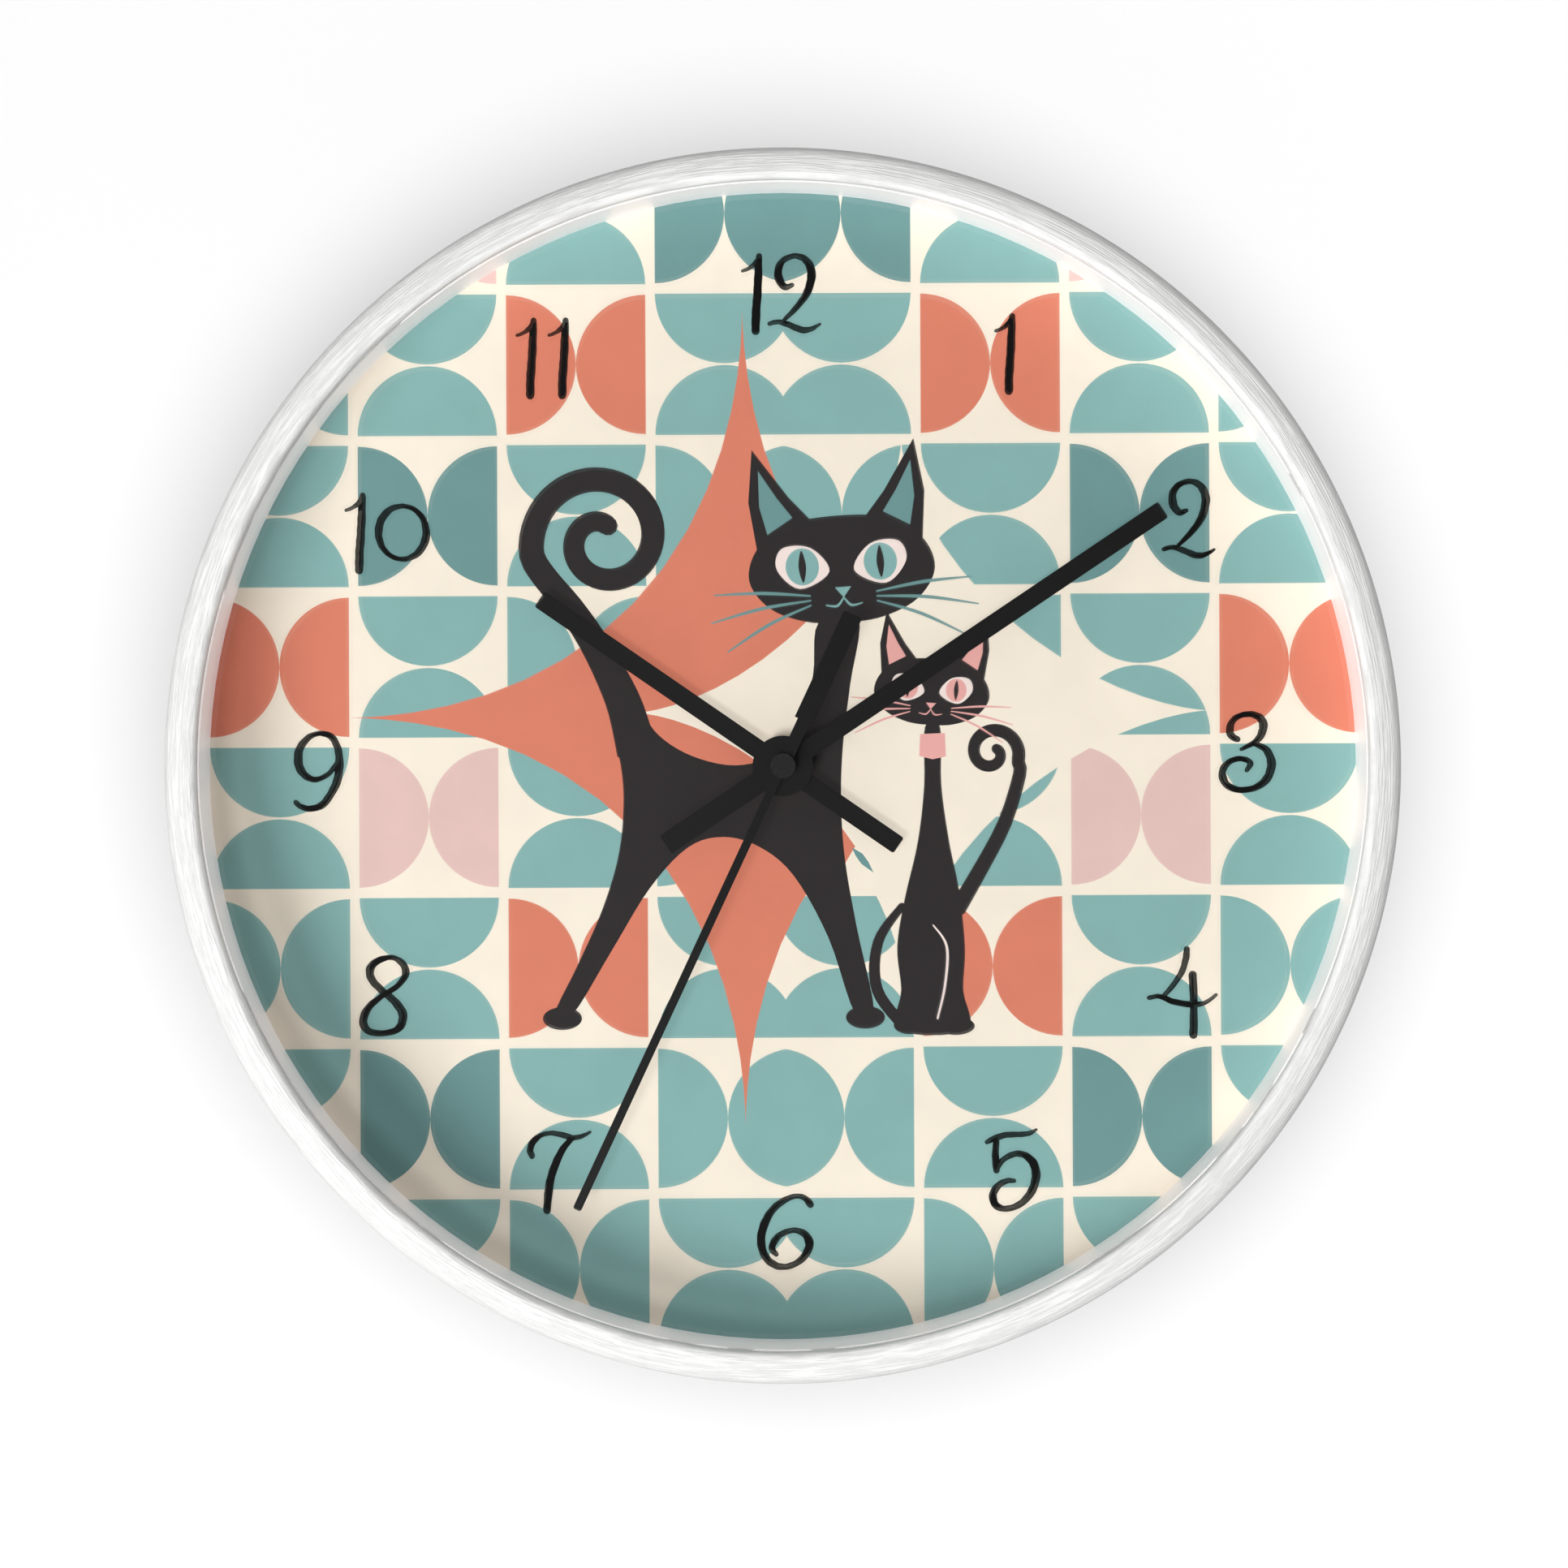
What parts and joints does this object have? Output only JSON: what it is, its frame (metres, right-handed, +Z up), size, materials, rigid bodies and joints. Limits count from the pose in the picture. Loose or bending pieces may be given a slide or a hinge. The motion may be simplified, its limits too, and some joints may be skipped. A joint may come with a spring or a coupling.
{
  "type": "round wall clock",
  "caption": "Round wall clock with a white painted ring frame, printed dial under a clear lens, three stick hands and a battery quartz movement with its wheel train.",
  "frame": {"origin": "point where the hands' axis meets the wall plane, at the centre of the ring's rear face", "axes": "+Y from the front of the clock into the wall along the hands' axis, +Z up, +X to the right as seen from the front"},
  "size_m": [0.254, 0.042, 0.254],
  "materials": {
    "painted_wood": "white brushed paint on turned wood",
    "clear_acrylic": "clear, polished",
    "white_plastic": "smooth, satin",
    "printed_card": "matte print on card",
    "hardboard": "brown pressed fibre board",
    "steel": "bright stamped steel",
    "rubber": "black, matte",
    "brass": "turned, bright",
    "hand_paint": "black satin paint on stamped aluminium",
    "case_plastic": "black moulded plastic",
    "wheel_plastic": "natural moulded plastic",
    "ferrite": "dark grey magnet",
    "copper_wire": "enamelled copper",
    "board_laminate": "green laminate",
    "black_resin": "glossy black drop",
    "crystal_can": "drawn metal can",
    "cell_label": "printed sleeve over a steel can"
  },
  "bodies": {
    "case": {"frame_ring": "painted_wood", "lens": "clear_acrylic", "spacer_ring": "white_plastic", "dial": "printed_card", "backboard": "hardboard", "retaining_points": "steel", "hanger": "steel", "rubber_washer": "rubber", "brass_washer": "brass", "hex_nut": "brass", "movement_case": "case_plastic", "movement_cover": "case_plastic", "train_plate": "wheel_plastic", "stator": "steel", "coil_bobbin": "wheel_plastic", "coil_winding": "copper_wire", "circuit_board": "board_laminate", "control_chip": "black_resin", "quartz_crystal": "crystal_can", "contact_positive": "steel", "contact_negative": "steel", "contact_spring": "steel"},
    "hour": {"hour_wheel": "wheel_plastic", "hour_hand": "hand_paint"},
    "minute": {"cannon_pinion": "wheel_plastic", "centre_wheel": "wheel_plastic", "minute_hand": "hand_paint"},
    "seconds": {"seconds_wheel": "wheel_plastic", "second_hand": "hand_paint", "second_hand_cap": "hand_paint"},
    "third": {"third_wheel": "wheel_plastic"},
    "intermediate": {"intermediate_wheel": "wheel_plastic"},
    "rotor": {"rotor_pinion": "wheel_plastic", "rotor_magnet": "ferrite"},
    "setting": {"motion_wheel": "wheel_plastic", "setting_knob": "case_plastic"},
    "cell": {"cell_jacket": "cell_label", "cell_cap": "steel"}
  },
  "joints": [
    {"name": "minute_turn", "type": "hinge", "parent": "case", "child": "minute", "pos_m": [0, 0, 0], "axis": [0, 1, 0], "continuous": true},
    {"name": "hour_turn", "type": "hinge", "parent": "case", "child": "hour", "pos_m": [0, 0, 0], "axis": [0, 1, 0], "continuous": true},
    {"name": "seconds_turn", "type": "hinge", "parent": "case", "child": "seconds", "pos_m": [0, 0, 0], "axis": [0, 1, 0], "continuous": true},
    {"name": "third_turn", "type": "hinge", "parent": "case", "child": "third", "pos_m": [-0.00672, 0, 0.00672], "axis": [0, 1, 0], "continuous": true},
    {"name": "intermediate_turn", "type": "hinge", "parent": "case", "child": "intermediate", "pos_m": [0.0045, 0, 0.00779], "axis": [0, 1, 0], "continuous": true},
    {"name": "rotor_turn", "type": "hinge", "parent": "case", "child": "rotor", "pos_m": [0.01229, 0, 0.01229], "axis": [0, 1, 0], "continuous": true},
    {"name": "setting_turn", "type": "hinge", "parent": "case", "child": "setting", "pos_m": [0.01, 0, 0], "axis": [0, 1, 0], "continuous": true},
    {"name": "cell_slide", "type": "slide", "parent": "case", "child": "cell", "axis": [0, 1, 0], "range_m": [0, 0.018]}
  ],
  "couplings": [
    {"joint": "hour_turn", "follows": "minute_turn", "ratio": 0.083333},
    {"joint": "seconds_turn", "follows": "minute_turn", "ratio": 60},
    {"joint": "third_turn", "follows": "minute_turn", "ratio": -8},
    {"joint": "intermediate_turn", "follows": "minute_turn", "ratio": -300},
    {"joint": "rotor_turn", "follows": "minute_turn", "ratio": 1800},
    {"joint": "setting_turn", "follows": "minute_turn", "ratio": -0.33333}
  ]
}
